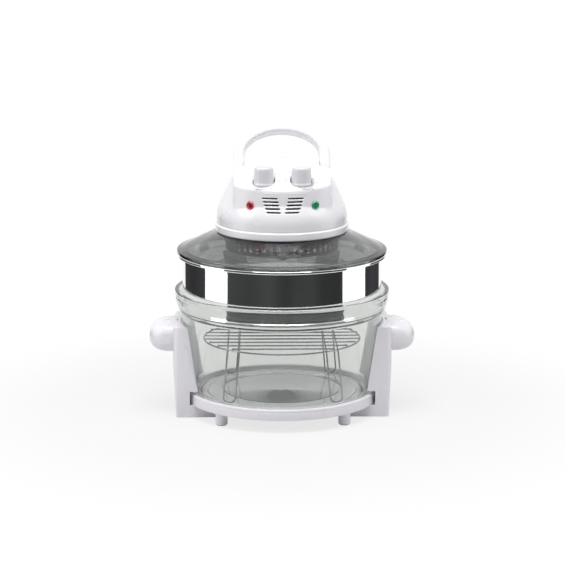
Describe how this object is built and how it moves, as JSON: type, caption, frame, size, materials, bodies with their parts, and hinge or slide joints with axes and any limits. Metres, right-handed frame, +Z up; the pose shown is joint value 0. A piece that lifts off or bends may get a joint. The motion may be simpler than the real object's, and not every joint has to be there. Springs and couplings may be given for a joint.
{
  "type": "halogen oven",
  "caption": "Countertop halogen oven: glass bowl in a plastic base with side arms, steel extension ring, glass lid with heater, and a white control head with a folding bail handle.",
  "frame": {"origin": "on the table under the centre of the bowl", "axes": "+Z up along the bowl's axis; -Y is the front with the controls; +X is to the right of someone facing the front"},
  "size_m": [0.422, 0.34, 0.459],
  "materials": {
    "white_plastic": "semi-gloss moulded polypropylene",
    "gloss_white": "glossy moulded ABS",
    "lilac_plastic": "semi-gloss moulded plastic, faintly lilac white",
    "knob_white": "semi-gloss moulded plastic",
    "dial_grey": "printed scale plate",
    "black_plastic": "moulded thermoset",
    "control_case": "moulded case",
    "fan_plastic": "heat resistant plastic",
    "red_plastic": "moulded plunger",
    "rubber": "matte",
    "silicone": "matte silicone",
    "bowl_glass": "clear pressed borosilicate, faint green edge",
    "lid_glass": "clear pressed borosilicate, faint green edge",
    "tube_glass": "quartz tube with a reddish filament",
    "bulb_glass": "small neon bulb",
    "red_lens": "clear red lens",
    "green_lens": "clear green lens",
    "ring_steel": "mirror polished stainless steel",
    "rack_wire": "bright plated wire",
    "screw_steel": "zinc plated steel",
    "zinc_steel": "zinc plated sheet",
    "pan_aluminium": "pressed aluminised sheet",
    "iron": "laminated electrical steel",
    "copper_coil": "enamelled copper winding",
    "bronze": "sintered bronze or brass",
    "ceramic": "unglazed steatite",
    "mica": "mica board"
  },
  "bodies": {
    "base": {"base_tray": "white_plastic", "tray_feet": "white_plastic", "foot_pads": "rubber", "left_arm": "lilac_plastic", "right_arm": "lilac_plastic", "left_arm_cover": "lilac_plastic", "right_arm_cover": "lilac_plastic", "left_grip": "white_plastic", "right_grip": "white_plastic", "arm_screws": "screw_steel"},
    "bowl": {"glass_bowl": "bowl_glass"},
    "rack": {"rack_ring": "rack_wire", "rack_bars": "rack_wire", "rack_rails": "rack_wire", "rack_legs": "rack_wire"},
    "ring": {"extension_ring": "ring_steel", "ring_flange": "ring_steel"},
    "lid": {"glass_lid": "lid_glass", "upper_gasket": "silicone", "lower_gasket": "silicone", "insulation_disc": "mica", "heater_pan": "pan_aluminium", "clamp_screws": "screw_steel", "halogen_tube": "tube_glass", "tube_holders": "ceramic", "guard_grille": "rack_wire", "guard_clips": "screw_steel", "head_base": "white_plastic", "head_shell": "gloss_white", "head_screws": "screw_steel", "dial_plates": "dial_grey", "red_lamp": "red_lens", "green_lamp": "green_lens", "lamp_bulbs": "bulb_glass", "motor_plate": "zinc_steel", "motor_posts": "zinc_steel", "motor_stator": "iron", "motor_coil": "copper_coil", "motor_bridge": "zinc_steel", "motor_bushes": "bronze", "timer_body": "control_case", "thermostat_body": "ceramic", "control_nuts": "screw_steel", "inlet_socket": "black_plastic", "inlet_pins": "bronze", "inlet_screws": "screw_steel", "safety_switch": "black_plastic"},
    "handle": {"bail_handle": "gloss_white", "pivot_pins": "screw_steel", "handle_cam": "fan_plastic"},
    "timer": {"timer_knob": "knob_white", "timer_stem": "screw_steel"},
    "thermostat": {"thermostat_knob": "knob_white", "thermostat_stem": "screw_steel"},
    "fan": {"motor_rotor": "iron", "fan_shaft": "screw_steel", "cooling_fan": "fan_plastic", "convection_fan": "pan_aluminium", "fan_nut": "screw_steel"},
    "plunger": {"switch_plunger": "red_plastic"}
  },
  "joints": [
    {"name": "bowl_lift", "type": "slide", "parent": "base", "child": "bowl", "axis": [0, 0, 1], "range_m": [0, 0.18]},
    {"name": "rack_lift", "type": "slide", "parent": "bowl", "child": "rack", "axis": [0, 0, 1], "range_m": [0, 0.1]},
    {"name": "ring_lift", "type": "slide", "parent": "bowl", "child": "ring", "axis": [0, 0, 1], "range_m": [0, 0.1]},
    {"name": "lid_lift", "type": "slide", "parent": "ring", "child": "lid", "axis": [0, 0, 1], "range_m": [0, 0.12]},
    {"name": "handle_fold", "type": "hinge", "parent": "lid", "child": "handle", "pos_m": [0, 0, 0.386], "axis": [-1, 0, 0], "range_deg": [-25, 64]},
    {"name": "timer_turn", "type": "hinge", "parent": "lid", "child": "timer", "pos_m": [-0.029, -0.065, 0.38], "axis": [0, 0, -1], "range_deg": [0, 300]},
    {"name": "thermostat_turn", "type": "hinge", "parent": "lid", "child": "thermostat", "pos_m": [0.029, -0.065, 0.38], "axis": [0, 0, -1], "range_deg": [0, 270]},
    {"name": "fan_spin", "type": "hinge", "parent": "lid", "child": "fan", "pos_m": [0, 0, 0.31], "axis": [0, 0, 1], "continuous": true},
    {"name": "plunger_slide", "type": "slide", "parent": "lid", "child": "plunger", "axis": [0, 0, -1], "range_m": [-0.0009, 0.0023]}
  ],
  "couplings": [
    {"joint": "plunger_slide", "follows": "handle_fold", "m_per_rad": 0.0019}
  ]
}
